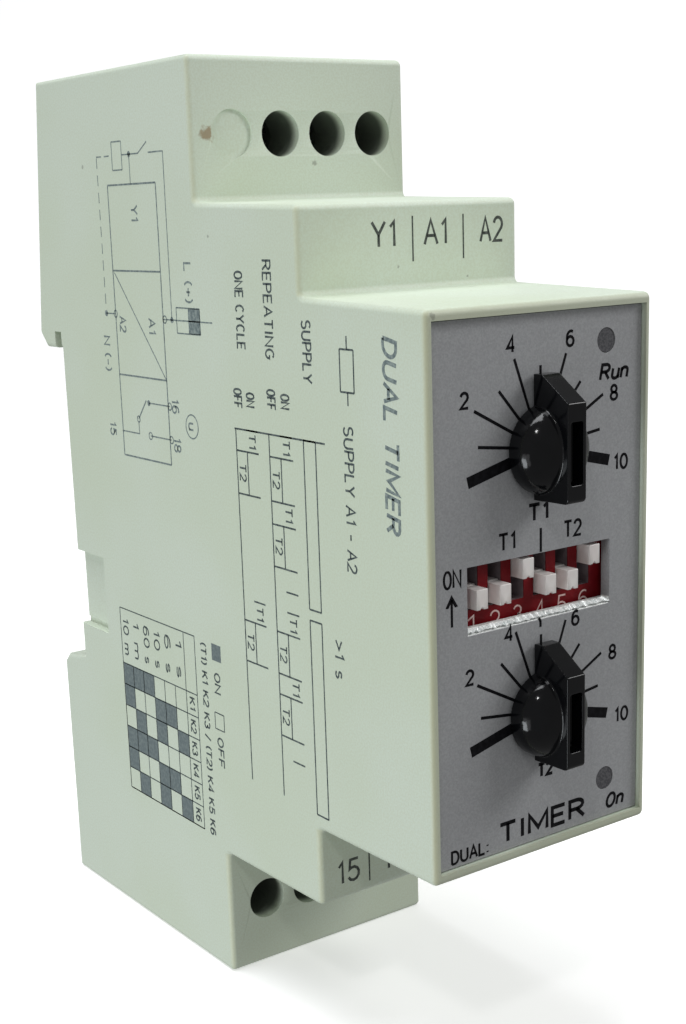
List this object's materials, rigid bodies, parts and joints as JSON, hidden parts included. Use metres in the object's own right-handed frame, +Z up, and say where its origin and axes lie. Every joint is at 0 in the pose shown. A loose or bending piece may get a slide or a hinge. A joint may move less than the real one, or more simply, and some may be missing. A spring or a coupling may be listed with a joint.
{
  "type": "din rail timer",
  "caption": "Slim rail-mounted twin timer relay with pointer dials, slide switches, indicator lamps, stepped screw terminal blocks and a sliding rail clip.",
  "frame": {"origin": "centre of the face that rests against a 35 mm rail, at mid-height and mid-width", "axes": "+X is width, to the right seen from the front; +Y points back towards the rail; +Z is up"},
  "size_m": [0.0246, 0.0719, 0.09],
  "materials": {
    "housing_ivory": "fine matt moulded plastic, slightly yellowed",
    "clip_ivory": "matt moulded plastic",
    "plate_grey": "silver-grey printed plastic plate with a fine speckle",
    "circuit_board": "green glass-fibre board",
    "moulding_blue": "moulded blue plastic",
    "shaft_white": "white nylon",
    "knob_black": "glossy black moulded plastic",
    "switch_red": "moulded red plastic with white numbers",
    "slider_white": "white moulded plastic",
    "lamp_lens": "grey diffusing lens",
    "screw_steel": "nickel-plated steel",
    "clamp_steel": "zinc-plated steel",
    "contact_brass": "tinned brass",
    "moulding_black": "black moulded plastic",
    "coil_copper": "enamelled copper winding on a bobbin",
    "coil_yellow": "ferrite core with yellow tape",
    "capacitor_black": "black sleeve",
    "moulding_yellow": "yellow moulded case",
    "spring_steel": "spring steel strip"
  },
  "bodies": {
    "housing": {"housing_body": "housing_ivory", "side_cover": "housing_ivory", "front_plate": "plate_grey", "front_board": "circuit_board", "main_board": "circuit_board", "terminal_board": "circuit_board", "dial_body_t1": "moulding_blue", "dial_body_t2": "moulding_blue", "switch_body": "switch_red", "lamp_run": "lamp_lens", "lamp_on": "lamp_lens", "terminal_bar_y1": "contact_brass", "terminal_bar_a1": "contact_brass", "terminal_bar_a2": "contact_brass", "terminal_bar_15": "contact_brass", "terminal_bar_16": "contact_brass", "terminal_bar_18": "contact_brass", "relay_base": "moulding_black", "relay_cover": "moulding_black", "relay_coil": "coil_copper", "relay_yoke": "clamp_steel", "relay_resting_contact": "contact_brass", "relay_working_contact": "contact_brass", "power_transformer": "coil_yellow", "smoothing_capacitor": "capacitor_black", "dropper_capacitor": "moulding_yellow", "surge_disc": "moulding_blue", "bridge_rectifier": "moulding_black", "timer_chip": "moulding_black", "front_header": "moulding_black", "rear_header": "moulding_black", "clip_spring": "spring_steel"},
    "dial_t1": {"dial_shaft_t1": "shaft_white", "knob_t1": "knob_black"},
    "dial_t2": {"dial_shaft_t2": "shaft_white", "knob_t2": "knob_black"},
    "slider_1": {"switch_slider_1": "slider_white"},
    "slider_2": {"switch_slider_2": "slider_white"},
    "slider_3": {"switch_slider_3": "slider_white"},
    "slider_4": {"switch_slider_4": "slider_white"},
    "slider_5": {"switch_slider_5": "slider_white"},
    "slider_6": {"switch_slider_6": "slider_white"},
    "clip": {"rail_clip": "clip_ivory"},
    "screw_y1": {"terminal_screw_y1": "screw_steel"},
    "cage_y1": {"terminal_cage_y1": "clamp_steel"},
    "screw_a1": {"terminal_screw_a1": "screw_steel"},
    "cage_a1": {"terminal_cage_a1": "clamp_steel"},
    "screw_a2": {"terminal_screw_a2": "screw_steel"},
    "cage_a2": {"terminal_cage_a2": "clamp_steel"},
    "screw_15": {"terminal_screw_15": "screw_steel"},
    "cage_15": {"terminal_cage_15": "clamp_steel"},
    "screw_16": {"terminal_screw_16": "screw_steel"},
    "cage_16": {"terminal_cage_16": "clamp_steel"},
    "screw_18": {"terminal_screw_18": "screw_steel"},
    "cage_18": {"terminal_cage_18": "clamp_steel"},
    "armature": {"relay_armature": "clamp_steel", "relay_moving_contact": "contact_brass"}
  },
  "joints": [
    {"name": "dial_turn_t1", "type": "hinge", "parent": "housing", "child": "dial_t1", "pos_m": [0, -0.0624, 0.0114], "axis": [0, 1, 0], "range_deg": [-103.5, 103.5]},
    {"name": "dial_turn_t2", "type": "hinge", "parent": "housing", "child": "dial_t2", "pos_m": [0, -0.0624, -0.0112], "axis": [0, 1, 0], "range_deg": [-103.5, 103.5]},
    {"name": "slider_slide_1", "type": "slide", "parent": "housing", "child": "slider_1", "axis": [0, 0, 1], "range_m": [0, 0.0018]},
    {"name": "slider_slide_2", "type": "slide", "parent": "housing", "child": "slider_2", "axis": [0, 0, 1], "range_m": [0, 0.0018]},
    {"name": "slider_slide_3", "type": "slide", "parent": "housing", "child": "slider_3", "axis": [0, 0, 1], "range_m": [-0.0018, 0]},
    {"name": "slider_slide_4", "type": "slide", "parent": "housing", "child": "slider_4", "axis": [0, 0, 1], "range_m": [0, 0.0018]},
    {"name": "slider_slide_5", "type": "slide", "parent": "housing", "child": "slider_5", "axis": [0, 0, 1], "range_m": [0, 0.0018]},
    {"name": "slider_slide_6", "type": "slide", "parent": "housing", "child": "slider_6", "axis": [0, 0, 1], "range_m": [-0.0018, 0]},
    {"name": "clip_release", "type": "slide", "parent": "housing", "child": "clip", "axis": [0, 0, -1], "range_m": [0, 0.004], "stiffness_N_per_m": 900, "springref_m": -0.004, "deforming": ["clip_spring"]},
    {"name": "screw_turn_y1", "type": "hinge", "parent": "housing", "child": "screw_y1", "pos_m": [-0.00241, -0.0233, 0.03805], "axis": [0, 1, 0], "range_deg": [0, 1440]},
    {"name": "cage_rise_y1", "type": "slide", "parent": "housing", "child": "cage_y1", "axis": [0, -1, 0], "range_m": [0, 0.002]},
    {"name": "screw_turn_a1", "type": "hinge", "parent": "housing", "child": "screw_a1", "pos_m": [0.00298, -0.0233, 0.03805], "axis": [0, 1, 0], "range_deg": [0, 1440]},
    {"name": "cage_rise_a1", "type": "slide", "parent": "housing", "child": "cage_a1", "axis": [0, -1, 0], "range_m": [0, 0.002]},
    {"name": "screw_turn_a2", "type": "hinge", "parent": "housing", "child": "screw_a2", "pos_m": [0.00837, -0.0233, 0.03805], "axis": [0, 1, 0], "range_deg": [0, 1440]},
    {"name": "cage_rise_a2", "type": "slide", "parent": "housing", "child": "cage_a2", "axis": [0, -1, 0], "range_m": [0, 0.002]},
    {"name": "screw_turn_15", "type": "hinge", "parent": "housing", "child": "screw_15", "pos_m": [-0.0078, -0.0233, -0.03805], "axis": [0, 1, 0], "range_deg": [0, 1440]},
    {"name": "cage_rise_15", "type": "slide", "parent": "housing", "child": "cage_15", "axis": [0, -1, 0], "range_m": [0, 0.002]},
    {"name": "screw_turn_16", "type": "hinge", "parent": "housing", "child": "screw_16", "pos_m": [-0.00241, -0.0233, -0.03805], "axis": [0, 1, 0], "range_deg": [0, 1440]},
    {"name": "cage_rise_16", "type": "slide", "parent": "housing", "child": "cage_16", "axis": [0, -1, 0], "range_m": [0, 0.002]},
    {"name": "screw_turn_18", "type": "hinge", "parent": "housing", "child": "screw_18", "pos_m": [0.00298, -0.0233, -0.03805], "axis": [0, 1, 0], "range_deg": [0, 1440]},
    {"name": "cage_rise_18", "type": "slide", "parent": "housing", "child": "cage_18", "axis": [0, -1, 0], "range_m": [0, 0.002]},
    {"name": "armature_pull", "type": "hinge", "parent": "housing", "child": "armature", "pos_m": [0.00328, -0.0244, -0.0195], "axis": [0, 0, 1], "range_deg": [-4.5, 0], "stiffness_Nm_per_rad": 0.0005, "springref_deg": 11.46}
  ],
  "couplings": [
    {"joint": "screw_turn_y1", "follows": "cage_rise_y1", "rad_per_m": 12566},
    {"joint": "screw_turn_a1", "follows": "cage_rise_a1", "rad_per_m": 12566},
    {"joint": "screw_turn_a2", "follows": "cage_rise_a2", "rad_per_m": 12566},
    {"joint": "screw_turn_15", "follows": "cage_rise_15", "rad_per_m": 12566},
    {"joint": "screw_turn_16", "follows": "cage_rise_16", "rad_per_m": 12566},
    {"joint": "screw_turn_18", "follows": "cage_rise_18", "rad_per_m": 12566}
  ]
}
